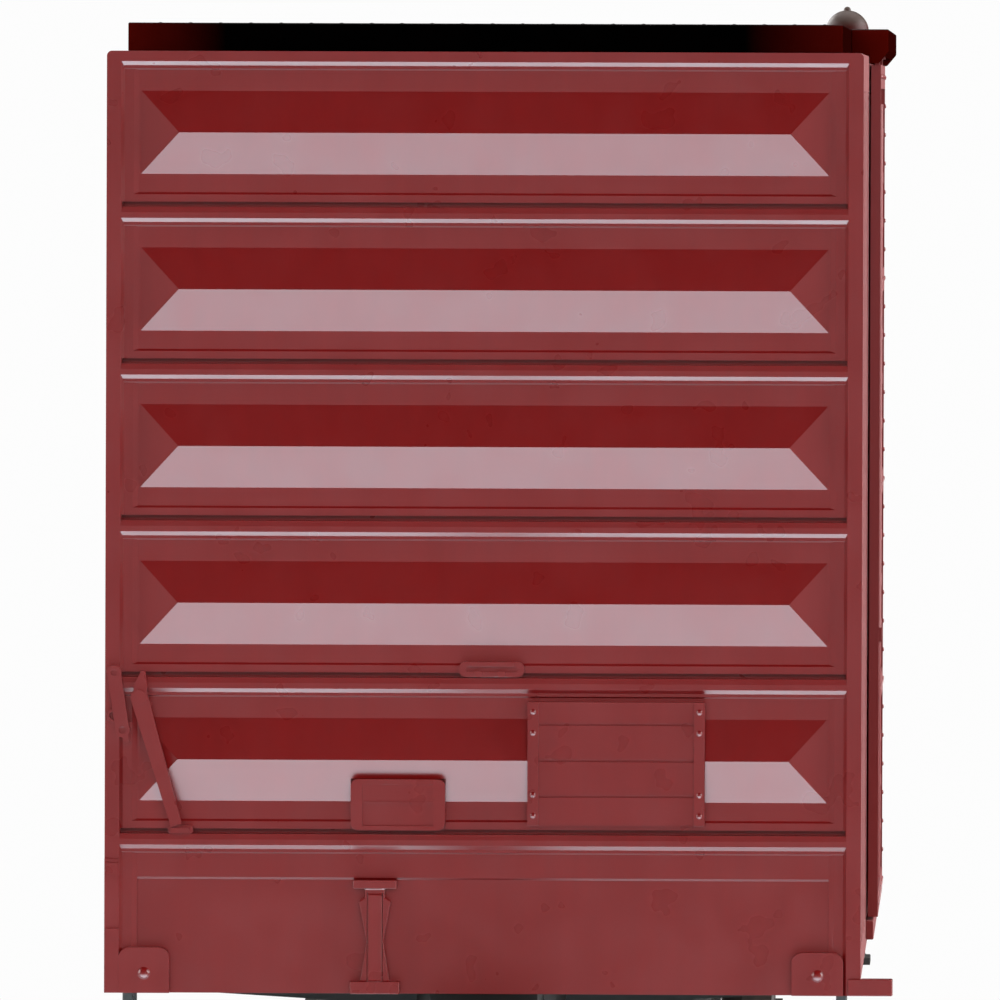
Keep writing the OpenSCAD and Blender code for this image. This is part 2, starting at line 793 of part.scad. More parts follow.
module coupler_lid() {
    difference() {
        block([-box_x, mouth_y, box_low], [box_x, box_back, box_low + lid_t]);
        translate([0, -pivot_y, 0]) cylinder(r = screw_r, h = sill_z);
    }
}

// Round-head screw with a slot, from a head height up to a tip height
module slotted_screw(r, head_r, head_z, head_h, tip_z) {
    difference() {
        union() {
            cap(head_r, head_z, head_h);
            translate([0, 0, head_z]) cylinder(r = r, h = tip_z - head_z);
        }
        translate([0, 0, head_z - head_h]) cube([0.3, 3 * head_r, 0.7], center = true);
    }
}

// Domed head hanging down from a height
module cap(r, z, h) {
    translate([0, 0, z]) rotate_extrude()
        polygon([[0, 0], [r, 0], [r, -0.35 * h], [0.75 * r, -0.85 * h], [0.4 * r, -h], [0, -h]]);
}

module coupler_screw() {
    translate([0, -pivot_y, 0]) slotted_screw(screw_r, 1.35, box_low, 0.5, box_top + 1.0);
}

// Leaf spring beside the shank, held round the pivot post
module centring_spring() {
    leaf_z = coupler_z + 0.82;
    y = -pivot_y;
    difference() {
        block([-2.9, y - 3.4, leaf_z], [2.9, y + 2.6, leaf_z + 0.2]);
        translate([0, y, 0]) cylinder(r = post_r, h = sill_z);
        block([-1.3, y - 4, leaf_z - 1], [1.3, y - 1.6, leaf_z + 1]);
    }
    both_sides() block([2.7, y - 3.4, coupler_z - 0.6], [2.9, y + 0.6, leaf_z]);
}

knuckle_pin = [1.45, -half_l - 4.6];
head_z = [coupler_z - 1.8, coupler_z + 1.8];
ear_t = 0.8;
pin_r = 0.3;

// A shape moved to the knuckle pin's line, at a height
module at_pin(z) { translate([knuckle_pin.x, knuckle_pin.y, z]) children(); }

module coupler() {
    shank_z = [coupler_z - 0.75, coupler_z + 0.75];
    head_y = -half_l - 2.2;
    fit = 0.06;
    difference() {
        union() {
            translate([0, -pivot_y, shank_z[0]]) cylinder(r = 2.0, h = shank_z[1] - shank_z[0]);
            block([-1.1, head_y - 0.5, shank_z[0]], [1.1, -pivot_y - 1, shank_z[1]]);
            translate([0, 0, head_z[0]]) linear_extrude(head_z[1] - head_z[0]) head_plan(head_y);
            // ears round the knuckle's pin
            for (z = [head_z[0], head_z[1] - ear_t]) at_pin(z) cylinder(r = 0.95, h = ear_t);
        }
        translate([0, -pivot_y, 0]) cylinder(r = post_r + fit, h = sill_z);
        // room for the knuckle's barrel
        at_pin(head_z[0] + ear_t) cylinder(r = 1.3, h = head_z[1] - head_z[0] - 2 * ear_t);
    }
    at_pin(head_z[0]) cylinder(r = pin_r, h = head_z[1] - head_z[0]);
    trip_pin();
}

// Plan of the coupler's head and guard arm
module head_plan(head_y) {
    polygon([[-1.3, head_y], [1.3, head_y], [2.2, head_y - 1.2], [2.3, head_y - 2.2], [0.4, head_y - 2.4],
             [-0.4, head_y - 2.7], [-1.0, head_y - 3.2], [-1.6, head_y - 4.2], [-2.5, head_y - 4.0],
             [-2.4, head_y - 2.6], [-2.0, head_y - 1.0]]);
}

// Curved steel pin under the head, shaped like a brake hose
module trip_pin() {
    bend = 1.6;
    low = 3.4;
    y = -half_l - 3.4;
    bar_z([0, y, low], head_z[0] - low + 0.2, 0.3);
    translate([bend, y, low]) rotate([90, 0, 0]) rotate([0, 0, 180]) rotate_extrude(angle = 80)
        translate([bend, 0]) circle(0.3);
}

// Hooked knuckle on its pin
module knuckle() {
    barrel_z = [head_z[0] + ear_t + 0.08, head_z[1] - ear_t - 0.08];
    nose_y = -half_l - 5.85;
    front_y = -half_l - 6.75;
    difference() {
        union() {
            at_pin(barrel_z[0]) cylinder(r = 0.75, h = barrel_z[1] - barrel_z[0]);
            translate([0, 0, barrel_z[0]]) linear_extrude(barrel_z[1] - barrel_z[0])
                polygon([[knuckle_pin.x - 0.6, knuckle_pin.y], [knuckle_pin.x + 0.75, knuckle_pin.y],
                         [2.2, nose_y], [0.7, nose_y]]);
            translate([0, 0, head_z[0] + 0.1]) linear_extrude(head_z[1] - head_z[0] - 0.2)
                polygon([[2.3, nose_y], [0.3, nose_y], [-0.1, nose_y - 0.25], [-0.1, front_y + 0.15],
                         [0.1, front_y], [1.7, front_y], [2.2, front_y + 0.3]]);
        }
        at_pin(0) cylinder(r = pin_r + 0.06, h = sill_z);
    }
}

module coupler_box_b() { color(frame_black) coupler_box(); }
module coupler_box_a() { color(frame_black) rotate(180) coupler_box(); }
module coupler_lid_b() { color(frame_black) coupler_lid(); }
module coupler_lid_a() { color(frame_black) rotate(180) coupler_lid(); }
module coupler_screw_b() { color(steel) coupler_screw(); }
module coupler_screw_a() { color(steel) rotate(180) coupler_screw(); }
module centring_spring_b() { color(brass) centring_spring(); }
module centring_spring_a() { color(brass) rotate(180) centring_spring(); }
module coupler_b() { color(bronze) coupler(); }
module coupler_a() { color(bronze) rotate(180) coupler(); }
module knuckle_b() { color(bronze) knuckle(); }
module knuckle_a() { color(bronze) rotate(180) knuckle(); }

// ---------- trucks, drawn about their pivot ----------

frame_in = 11.0;
frame_out = 12.6;
half_base = wheelbase / 2;
window_w = 6.4;
window_z = [4.4, 9.4];

// Cast side frame: arched top, bellied bottom, a window for the springs
module side_frame() {
    difference() {
        union() {
            translate([frame_in, 0, 0]) rotate([90, 0, 90]) linear_extrude(frame_out - frame_in)
                difference() {
                    polygon([[-half_base - 2.6, 6.6], [-half_base - 2.2, 7.7], [-half_base + 1.8, 8.0],
                             [-4.4, 10.4], [4.4, 10.4], [half_base - 1.8, 8.0], [half_base + 2.2, 7.7],
                             [half_base + 2.6, 6.6], [half_base + 2.4, 4.2], [half_base - 2.2, 4.2],
                             [4.2, 2.9], [-4.2, 2.9], [-half_base + 2.2, 4.2], [-half_base - 2.4, 4.2]]);
                    polygon([[-window_w / 2, window_z[0]], [window_w / 2, window_z[0]],
                             [window_w / 2, window_z[1]], [-window_w / 2, window_z[1]]]);
                    for (s = [-1, 1])
                        polygon([[s * 4.2, 5.0], [s * 4.2, 8.4], [s * 7.1, 6.9], [s * 7.1, 5.4]]);
                }
            for (s = [-1, 1]) translate([0, s * half_base, 0]) {
                // journal box, roller bearing and cap
                block([frame_in, -1.7, axle_z - 1.8], [frame_out + 0.4, 1.7, axle_z + 1.8]);
                bar_x([frame_out + 0.4, 0, axle_z], 0.7, 1.45);
                bar_x([frame_out + 1.1, 0, axle_z], 0.25, 0.9);
            }
        }
        // pointed bearing pockets
        for (s = [-1, 1]) translate([0, s * half_base, axle_z]) rotate([0, 90, 0]) rotate_extrude()
            axle_profile(0.06);
    }
}

// Half outline of the axle about its own line, grown by a clearance
module axle_profile(gap) {
    body_r = 0.8;
    shoulder = axle_l / 2 - 0.75;
    polygon([[0, -axle_l / 2 - gap], [0.06 + gap, -axle_l / 2 - gap], [body_r + gap, -shoulder - gap],
             [body_r + gap, shoulder + gap], [0.06 + gap, axle_l / 2 + gap], [0, axle_l / 2 + gap]]);
}

module truck_frame(at) {
    translate([0, at, 0]) both_sides() side_frame();
}

// Cross beam through both windows, with the centre bowl
module truck_bolster(at) {
    bowl_z = 11.65;
    end_z = [7.4, window_z[1]];
    translate([0, at, 0]) difference() {
        union() {
            translate([0, 2.4, 0]) rotate([90, 0, 0]) linear_extrude(4.8)
                polygon([[-frame_out, end_z[0]], [-8, end_z[0]], [-5, 6.9], [5, 6.9], [8, end_z[0]],
                         [frame_out, end_z[0]], [frame_out, end_z[1]], [9, end_z[1]], [5, 10.2], [-5, 10.2],
                         [-9, end_z[1]], [-frame_out, end_z[1]]]);
            translate([0, 0, 9]) cylinder(r = 3.6, h = bowl_z - 9);
        }
        cylinder(r = truck_screw_r + 0.06, h = 20);
        // seat for the screw's head
        translate([0, 0, 6]) cylinder(r = 2.1, h = 2.2);
    }
}

// Spring group in each window: coils drawn as stacked rings
module truck_springs(at) {
    ring_n = 6;
    low = window_z[0];
    pitch = (7.4 - low) / ring_n;
    coil_r = 1.15;
    translate([0, at, 0]) both_sides() for (y = [-1.4, 1.4])
        translate([(frame_in + frame_out) / 2, y, 0]) rotate_extrude()
            polygon(concat([[0, low]],
                [for (i = [0 : ring_n - 1], p = [[coil_r - 0.3, 0.0], [coil_r, 0.3], [coil_r, 0.7]])
                    [p.x, low + (i + p.y) * pitch]],
                [[coil_r - 0.3, 7.4], [0, 7.4]]));
}

module truck_screw(at) {
    translate([0, at, 0]) slotted_screw(truck_screw_r, 1.9, 8.1, 0.8, sill_z - 0.4);
}

module truck_frame_b() { color(frame_black) truck_frame(-truck_y); }
module truck_frame_a() { color(frame_black) truck_frame(truck_y); }
module truck_bolster_b() { color(frame_black) truck_bolster(-truck_y); }
module truck_bolster_a() { color(frame_black) truck_bolster(truck_y); }
module truck_springs_b() { color(steel) truck_springs(-truck_y); }
module truck_springs_a() { color(steel) truck_springs(truck_y); }
module truck_screw_b() { color(steel) truck_screw(-truck_y); }
module truck_screw_a() { color(steel) truck_screw(truck_y); }

// Places of the four axles, from the brake end
axle_ys = [-truck_y - half_base, -truck_y + half_base, truck_y - half_base, truck_y + half_base];

module axle(i) {
    color(steel) translate([0, axle_ys[i], axle_z]) rotate([0, 90, 0]) rotate_extrude() axle_profile(0);
}

// Two wheels with ribbed rims, flanges and hubs, pressed on the axle
module wheels(i) {
    color(bronze) translate([0, axle_ys[i], axle_z]) both_sides()
        translate([back_to_back / 2, 0, 0]) rotate([0, 90, 0]) rotate_extrude()
            polygon([[0.8, 0], [1.7, 0], [1.9, 0.7], [3.9, 0.5], [4.1, 0], [flange_r - 0.2, 0],
                     [flange_r, 0.25], [flange_r, 0.45], [flange_r - 0.25, 0.8], [tread_r + 0.05, 1.05],
                     [tread_r - 0.04, 2.65], [tread_r - 0.14, 2.8], [4.1, 2.8], [3.9, 1.5], [1.9, 1.7],
                     [1.7, 2.8], [0.8, 2.8]]);
}

module axle_1() { axle(0); }
module axle_2() { axle(1); }
module axle_3() { axle(2); }
module axle_4() { axle(3); }
module wheels_1() { wheels(0); }
module wheels_2() { wheels(1); }
module wheels_3() { wheels(2); }
module wheels_4() { wheels(3); }

// ---------- the car ----------

end_brake();
end_plain();
side_right();
side_left();
roof();
roof_vent();
floor();
centre_sill();
body_bolsters();
cross_bearers();
weight_plate();
upper_track_right();
upper_track_left();
lower_track_right();
lower_track_left();
door_right();
door_left();
ladders();
sill_steps();
tack_board();
route_board();
end_bracket();
rod_bracket();
corner_pads();
pull_brackets();
brake_lever();
lever_foot();
brake_link();
brake_cylinder();
air_reservoir();
control_valve();
brake_rigging();
coupler_box_b();
coupler_box_a();
coupler_lid_b();
coupler_lid_a();
coupler_screw_b();
coupler_screw_a();
centring_spring_b();
centring_spring_a();
coupler_b();
coupler_a();
knuckle_b();
knuckle_a();
truck_frame_b();
truck_frame_a();
truck_bolster_b();
truck_bolster_a();
truck_springs_b();
truck_springs_a();
truck_screw_b();
truck_screw_a();
axle_1();
axle_2();
axle_3();
axle_4();
wheels_1();
wheels_2();
wheels_3();
wheels_4();
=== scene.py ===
"""Looks of the model box car: moulded oxide-red body, black roof and running gear, metal wheels and couplers.

The frame is that of the CAD model: the brake end faces -Y and +Z is up. Lengths are in metres, apart from
those that are said to be in millimetres.
"""
import json
import math

import bmesh
import bpy
from mathutils import Matrix, Vector


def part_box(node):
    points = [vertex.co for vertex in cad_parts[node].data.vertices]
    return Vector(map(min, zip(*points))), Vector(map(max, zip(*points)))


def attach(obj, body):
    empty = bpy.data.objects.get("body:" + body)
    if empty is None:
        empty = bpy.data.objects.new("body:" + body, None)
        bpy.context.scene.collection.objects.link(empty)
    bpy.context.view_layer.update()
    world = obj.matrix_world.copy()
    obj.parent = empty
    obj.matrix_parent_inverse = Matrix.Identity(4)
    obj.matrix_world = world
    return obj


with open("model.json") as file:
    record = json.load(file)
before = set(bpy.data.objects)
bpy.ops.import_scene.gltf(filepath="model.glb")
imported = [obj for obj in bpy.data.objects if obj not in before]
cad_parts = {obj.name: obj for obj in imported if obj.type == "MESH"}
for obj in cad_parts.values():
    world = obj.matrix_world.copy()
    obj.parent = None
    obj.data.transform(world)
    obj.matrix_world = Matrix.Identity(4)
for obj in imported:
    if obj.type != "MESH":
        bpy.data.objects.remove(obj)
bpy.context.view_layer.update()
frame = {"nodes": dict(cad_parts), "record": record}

MM = 0.001
NODES = frame["nodes"]
BODY = "car_body"
SIDES = ((1, "right"), (-1, "left"))
UP = (0, 0, 1)


# ---------- camera ----------

# Distance of the lens ahead of the brake end, and the width that it takes in there
LENS_RANGE = 957 * MM
FRAME_WIDTH = 48.08 * MM
# The point of the end that it looks at, and its own place: across and up
AIM_X = 0.79 * MM
AIM_Z = 37.30 * MM
EYE_X = 24.7 * MM
EYE_Z = 56.2 * MM
ROLL = math.radians(0.2)
SENSOR = 36.0


def make_camera():
    """Long lens on the brake end, standing to the right of its middle and a little below its top."""
    end_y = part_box("end_brake")[0].y
    data = bpy.data.cameras.new("camera")
    data.sensor_width = SENSOR
    data.clip_start = 0.1
    data.clip_end = 12.0
    cam = bpy.data.objects.new("camera", data)
    bpy.context.scene.collection.objects.link(cam)
    aim = Vector((AIM_X, end_y, AIM_Z))
    eye = Vector((EYE_X, end_y - LENS_RANGE, EYE_Z))
    data.lens = SENSOR * (aim - eye).length / FRAME_WIDTH
    turn = (aim - eye).to_track_quat("-Z", "Y")
    cam.location = eye
    cam.rotation_mode = "QUATERNION"
    cam.rotation_quaternion = turn @ Matrix.Rotation(ROLL, 3, "Z").to_quaternion()
    bpy.context.scene.camera = cam


# ---------- node trees ----------

class Nodes:
    """A node tree, emptied, with short ways to add nodes, to link them and to work on their values."""

    def __init__(self, tree):
        self.tree = tree
        tree.nodes.clear()

    def add(self, kind, **settings):
        node = self.tree.nodes.new(kind)
        for key, value in settings.items():
            setattr(node, key, value)
        return node

    def link(self, source, target):
        self.tree.links.new(source, target)

    def split(self, vector):
        """A vector's parts, under the names X, Y and Z."""
        node = self.add("ShaderNodeSeparateXYZ")
        self.link(vector, node.inputs[0])
        return node.outputs

    def length(self, vector):
        node = self.add("ShaderNodeVectorMath", operation="LENGTH")
        self.link(vector, node.inputs[0])
        return node.outputs["Value"]

    def maths(self, operation, *values):
        """A maths node on one or two linked values."""
        node = self.add("ShaderNodeMath", operation=operation)
        for socket, value in zip(node.inputs, values):
            self.link(value, socket)
        return node.outputs[0]

    def range(self, value, low, high, start=0.3, stop=0.7):
        """Goes from low to high as value goes from start to stop, and stays level outside them."""
        node = self.add("ShaderNodeMapRange")
        node.inputs["From Min"].default_value = start
        node.inputs["From Max"].default_value = stop
        node.inputs["To Min"].default_value = low
        node.inputs["To Max"].default_value = high
        self.link(value, node.inputs["Value"])
        return node.outputs["Result"]

    def cover(self, share, under, over):
        """Shader that shows one surface under another, which covers a share of it."""
        node = self.add("ShaderNodeMixShader")
        self.link(share, node.inputs["Fac"])
        self.link(under, node.inputs[1])
        self.link(over, node.inputs[2])
        return node.outputs[0]


class Shader(Nodes):
    """A node material with helpers for colour, roughness and bump from object-space noise."""

    def __init__(self, name):
        self.material = bpy.data.materials.new(name)
        self.material.use_nodes = True
        super().__init__(self.material.node_tree)
        self.out = self.add("ShaderNodeOutputMaterial")
        self.bsdf = self.add("ShaderNodeBsdfPrincipled")
        self.place = self.add("ShaderNodeTexCoord")
        self.link(self.bsdf.outputs[0], self.out.inputs["Surface"])

    def noise(self, scale, detail=4.0, stretch=(1.0, 1.0, 1.0)):
        """Noise with features about 1/scale millimetres wide."""
        mapping = self.add("ShaderNodeMapping")
        mapping.inputs["Scale"].default_value = [scale * s / MM for s in stretch]
        tex = self.add("ShaderNodeTexNoise")
        tex.inputs["Scale"].default_value = 1.0
        tex.inputs["Detail"].default_value = detail
        self.link(self.place.outputs["Object"], mapping.inputs["Vector"])
        self.link(mapping.outputs["Vector"], tex.inputs["Vector"])
        return tex.outputs["Fac"]

    def ramp(self, value, low, high, start=0.35, stop=0.65):
        """Colour from low to high as value goes from start to stop."""
        node = self.add("ShaderNodeValToRGB")
        first, last = node.color_ramp.elements
        first.position = start
        last.position = stop
        first.color = (*low, 1.0)
        last.color = (*high, 1.0)
        self.link(value, node.inputs["Fac"])
        return node.outputs["Color"]

    def mottle(self, scale, low, high):
        return self.ramp(self.noise(scale), low, high)

    def colour(self, source):
        self.link(source, self.bsdf.inputs["Base Color"])

    def mix(self, factor, a, b):
        """Colour from a to b; its sockets go by number, because the node has several of one name."""
        node = self.add("ShaderNodeMix", data_type="RGBA")
        self.link(factor, node.inputs["Factor"])
        self.link(a, node.inputs[6])
        self.link(b, node.inputs[7])
        return node.outputs[2]

    def rough(self, value, low, high):
        self.link(self.range(value, low, high), self.bsdf.inputs["Roughness"])

    def bump(self, value, height):
        """Bump from a value, height in millimetres."""
        node = self.add("ShaderNodeBump")
        node.inputs["Distance"].default_value = height * MM
        self.link(value, node.inputs["Height"])
        self.link(node.outputs["Normal"], self.bsdf.inputs["Normal"])


# ---------- light and floor ----------

STUDIO_WHITE = (0.98, 0.98, 0.98, 1.0)
SKY_TINT = (0.95, 0.97, 1.0, 1.0)
FLOOR_GREYS = ((0.72, 0.72, 0.72), (0.76, 0.76, 0.755))
FLOOR_REACH = 9.0
FLOOR_DROP = 0.0002

# The low lights: how far ahead of the end they start and stop, their width and their height
LOW_NEAR = 2.5 * MM
LOW_FAR = 150.0 * MM
LOW_WIDTH = 0.20
LOW_Z = 0.002
LOW_TINT = (0.66, 0.90, 1.0)

# Heights that the lights on the brake end and on the whole car are aimed at
END_AIM_Z = 0.036
CAR_AIM_Z = 0.035


def area_light(name, at, towards, size, radiance, tint=(1.0, 1.0, 1.0), seen_by="both", spread=180):
    """A soft rectangle of light that the camera doesn't see; seen_by is both, gloss or matt."""
    data = bpy.data.lights.new(name, "AREA")
    data.shape = "RECTANGLE"
    data.size, data.size_y = size
    data.energy = radiance * math.pi * size[0] * size[1]
    data.color = tint
    data.spread = math.radians(spread)
    lamp = bpy.data.objects.new(name, data)
    bpy.context.scene.collection.objects.link(lamp)
    lamp.location = at
    lamp.rotation_mode = "QUATERNION"
    lamp.rotation_quaternion = (Vector(towards) - Vector(at)).to_track_quat("-Z", "Y")
    lamp.visible_camera = False
    lamp.visible_glossy = seen_by != "matt"
    lamp.visible_diffuse = seen_by != "gloss"


def make_lights():
    """Lights under and in front of the brake end, and soft boxes for the other sides.

    The low pair lies just above the floor, ahead of the end: the lower faces of its ribs mirror the first.
    """
    end_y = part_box("end_brake")[0].y
    end_aim = (0.0, end_y, END_AIM_Z)
    car_aim = (0.0, 0.0, CAR_AIM_Z)
    low = Vector((0.0, end_y - (LOW_NEAR + LOW_FAR) / 2, LOW_Z))
    above = low + Vector(UP)
    low_size = (LOW_WIDTH, LOW_FAR - LOW_NEAR)
    area_light("low_gloss", low, above, low_size, radiance=9.5, tint=LOW_TINT, seen_by="gloss", spread=150)
    area_light("low_matt", low, above, low_size, radiance=1.9, seen_by="matt")
    area_light("fill_front", at=(0.05, end_y - 0.9, 0.10), towards=end_aim, size=(0.8, 0.6),
               radiance=9.9, seen_by="matt")
    area_light("top", at=(0.0, 0.22, 0.50), towards=(0.0, 0.05, 0.0), size=(0.50, 0.50), radiance=3.0)
    area_light("right", at=(0.55, 0.05, 0.20), towards=car_aim, size=(0.70, 0.50), radiance=12.0)
    area_light("left", at=(-0.55, 0.05, 0.20), towards=car_aim, size=(0.70, 0.50), radiance=8.0)
    for way, side in SIDES:
        area_light(f"wing_{side}", at=(way * 0.38, end_y - 0.48, 0.06), towards=end_aim,
                   size=(0.22, 0.30), radiance=0.7, seen_by="gloss")
    area_light("rear", at=(-0.42, 0.62, 0.30), towards=(0.0, 0.07, CAR_AIM_Z),
               size=(0.42, 0.40), radiance=9.0)


def make_world():
    """White behind the object for the camera, and a dim sky for the rest.

    The sky is brighter near the horizon, and most of all ahead of the brake end.
    """
    world = bpy.data.worlds.new("studio")
    bpy.context.scene.world = world
    world.use_nodes = True
    nodes = Nodes(world.node_tree)
    way = nodes.split(nodes.add("ShaderNodeTexCoord").outputs["Generated"])
    high = nodes.range(way["Z"], low=1.0, high=0.05, start=0.02, stop=0.20)
    ahead = nodes.range(way["Y"], low=0.35, high=0.12, start=-0.9, stop=-0.3)
    sky = nodes.add("ShaderNodeBackground")
    sky.inputs["Color"].default_value = SKY_TINT
    nodes.link(nodes.maths("MULTIPLY", high, ahead), sky.inputs["Strength"])
    white = nodes.add("ShaderNodeBackground")
    white.inputs["Color"].default_value = STUDIO_WHITE
    seen = nodes.add("ShaderNodeLightPath")
    shown = nodes.cover(seen.outputs["Is Camera Ray"], sky.outputs[0], white.outputs[0])
    nodes.link(shown, nodes.add("ShaderNodeOutputWorld").inputs["Surface"])


def make_floor():
    """Pale floor: matt near the car, melting into the white of the background far away."""
    mesh = bpy.data.meshes.new("floor_disc")
    form = bmesh.new()
    bmesh.ops.create_circle(form, cap_ends=True, radius=FLOOR_REACH, segments=96)
    form.to_mesh(mesh)
    form.free()
    disc = bpy.data.objects.new("studio_floor", mesh)
    bpy.context.scene.collection.objects.link(disc)
    disc.location.z = -FLOOR_DROP
    sheet = Shader("floor_pale")
    paint = sheet.bsdf
    paint.inputs["Roughness"].default_value = 0.8
    paint.inputs["Specular IOR Level"].default_value = 0.1
    sheet.colour(sheet.mottle(3.0, *FLOOR_GREYS))
    glow = sheet.add("ShaderNodeEmission")
    glow.inputs["Color"].default_value = STUDIO_WHITE
    # for everything but the camera it glows softly, and hardly at all far behind the car
    seen = sheet.add("ShaderNodeLightPath")
    place = sheet.split(sheet.place.outputs["Object"])
    strength = sheet.add("ShaderNodeMix", data_type="FLOAT")
    sheet.link(seen.outputs["Is Camera Ray"], strength.inputs["Factor"])
    sheet.link(sheet.range(place["Y"], low=0.25, high=0.03, start=0.10, stop=0.40), strength.inputs["A"])
    strength.inputs["B"].default_value = 1.0
    sheet.link(strength.outputs["Result"], glow.inputs["Strength"])
    far = sheet.add("ShaderNodeMapRange")
    far.inputs["From Min"].default_value = 0.09
    far.inputs["From Max"].default_value = 0.22
    far.inputs["To Min"].default_value = 0.38
    sheet.link(sheet.length(sheet.place.outputs["Object"]), far.inputs["Value"])
    shown = sheet.cover(far.outputs["Result"], paint.outputs[0], glow.outputs[0])
    sheet.link(shown, sheet.out.inputs["Surface"])
    disc.data.materials.append(sheet.material)


# ---------- materials ----------

OXIDE = (0.104, 0.0030, 0.0030)
# Roof cap: a grey-brown painted highlight for its dome, then its dark red in painted shade for its foot
VENT_HIGHLIGHT = (0.040, 0.026, 0.022)
VENT_SHADED_RED = (0.026, 0.0022, 0.0016)
FRAME_BLACK = (0.016, 0.014, 0.013)
TRUCK_BROWN = (0.024, 0.018, 0.015)

# Darker and lighter colour of each mottled finish
# For the roof: near-black as painted shade on its upright faces, red as painted light from the sides, grey
# for its top
ROOF_SHADE_BLACK = ((0.0001, 0.0001, 0.0001), (0.0003, 0.0002, 0.0002))
ROOF_SIDE_LIGHT_RED = ((0.036, 0.0012, 0.0006), (0.043, 0.0016, 0.0008))
ROOF_TOP_GREY = ((0.020, 0.018, 0.018), (0.034, 0.031, 0.030))
WHEEL_DARK = ((0.045, 0.036, 0.030), (0.085, 0.068, 0.055))
WHEEL_BRIGHT = ((0.50, 0.49, 0.47), (0.62, 0.61, 0.59))

# Distance from the centre line at which the roof's red painted side light starts, and where it is full
SIDE_LIGHT_FROM = 12.5 * MM
SIDE_LIGHT_TO = 19.0 * MM

# Where a wheel's dark middle ends and its bright ring starts, as shares of the flange's radius
DARK_TO = 0.80
BRIGHT_FROM = 0.88

# Where the roof cap's foot ends and its dome starts, as shares of its height: painted shade below, painted
# highlight above
FOOT_TO = 0.30
DOME_FROM = 0.55

# Rounding of the edges for each slot, in millimetres; the other slots' edges stay sharp
ROUND_MM = {
    "oxide_plastic": 0.07,
    "roof_black": 0.06,
    "frame_plastic": 0.06,
    "truck_plastic": 0.08,
    "coupler_metal": 0.06,
    "weight_steel": 0.05,
}
WELD_GAP = 1e-6
SHARP_FROM = math.radians(25)

# How the names of the nodes with a duller finish start: the sides, the doors and the rails under them
DULL_NODES = ("side_", "door_", "lower_track_")


def tone(colour, factor):
    return tuple(c * factor for c in colour)


def moulded(name, colour, rough, grain=0.001, spread=0.06):
    """Injection-moulded plastic: faint mottling, upright flow streaks and a fine satin grain."""
    paint = Shader(name)
    streaks = paint.noise(1.6, detail=3.0, stretch=(1.0, 1.0, 0.12))
    low, high = tone(colour, 1 - spread), tone(colour, 1 + spread)
    paint.colour(paint.ramp(streaks, low, high, start=0.25, stop=0.75))
    paint.rough(paint.noise(0.5, detail=2.0), rough - 0.02, rough + 0.03)
    paint.bump(paint.noise(2.5, detail=2.0), grain)
    paint.bsdf.inputs["IOR"].default_value = 1.5
    return paint.material


def black_roof(name):
    """Matt black sheet: near-black upright faces as painted shade, faintly red towards the corners as painted
    side light, and grey on top.
    """
    paint = Shader(name)
    place = paint.split(paint.place.outputs["Object"])
    facing = paint.split(paint.place.outputs["Normal"])
    across = paint.maths("ABSOLUTE", place["X"])
    sideways = paint.maths("ABSOLUTE", facing["X"])
    # less of the red painted side light on the faces that look sideways
    side_light = paint.maths("MULTIPLY", paint.range(across, low=0.0, high=1.0, start=SIDE_LIGHT_FROM, stop=SIDE_LIGHT_TO),
                          paint.range(sideways, low=1.0, high=0.22, start=0.3, stop=0.8))
    # near-black painted shade in the middle, red painted side light towards the corners
    edge = paint.mix(side_light, paint.mottle(0.5, *ROOF_SHADE_BLACK), paint.mottle(0.5, *ROOF_SIDE_LIGHT_RED))
    # faces that look up are grey; the upright ones keep the near-black painted shade
    upward = paint.range(facing["Z"], low=0.0, high=1.0, start=0.3, stop=0.8)
    paint.colour(paint.mix(upward, edge, paint.mottle(0.35, *ROOF_TOP_GREY)))
    paint.rough(paint.noise(0.8), 0.52, 0.62)
    paint.bump(paint.noise(5.0, detail=2.0), 0.003)
    paint.bsdf.inputs["Specular IOR Level"].default_value = 0.0
    return paint.material


def metal(name, colour, rough, streak=(1.0, 1.0, 1.0), grain=0.004, spread=0.15):
    """Bare or darkened metal with fine marks, drawn out along the axes where the streak is small."""
    paint = Shader(name)
    marks = paint.noise(3.0, detail=5.0, stretch=streak)
    paint.colour(paint.ramp(marks, tone(colour, 1 - spread), tone(colour, 1 + spread)))
    paint.rough(paint.noise(1.2), rough - 0.06, rough + 0.08)
    paint.bump(marks, grain)
    paint.bsdf.inputs["Metallic"].default_value = 1.0
    return paint.material


def wheel_metal(name):
    """A wheel node's darkened casting, with a bright ring on the tread and flange."""
    low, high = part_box(name)
    centre = (low + high) / 2
    flange = (high.z - low.z) / 2
    paint = Shader(f"{name}_metal")
    place = paint.split(paint.place.outputs["Object"])
    from_axle = paint.add("ShaderNodeCombineXYZ")
    for axis, middle in (("Y", centre.y), ("Z", centre.z)):
        less = paint.add("ShaderNodeMath", operation="SUBTRACT")
        less.inputs[1].default_value = middle
        paint.link(place[axis], less.inputs[0])
        paint.link(less.outputs[0], from_axle.inputs[axis])
    radius = paint.length(from_axle.outputs[0])
    worn = paint.range(radius, low=0.0, high=1.0, start=DARK_TO * flange, stop=BRIGHT_FROM * flange)
    paint.colour(paint.mix(worn, paint.mottle(0.8, *WHEEL_DARK), paint.mottle(1.5, *WHEEL_BRIGHT)))
    paint.link(paint.range(worn, low=0.55, high=0.25, start=0.0, stop=1.0), paint.bsdf.inputs["Roughness"])
    paint.bsdf.inputs["Metallic"].default_value = 1.0
    paint.bump(paint.noise(6.0), 0.006)
    return paint.material


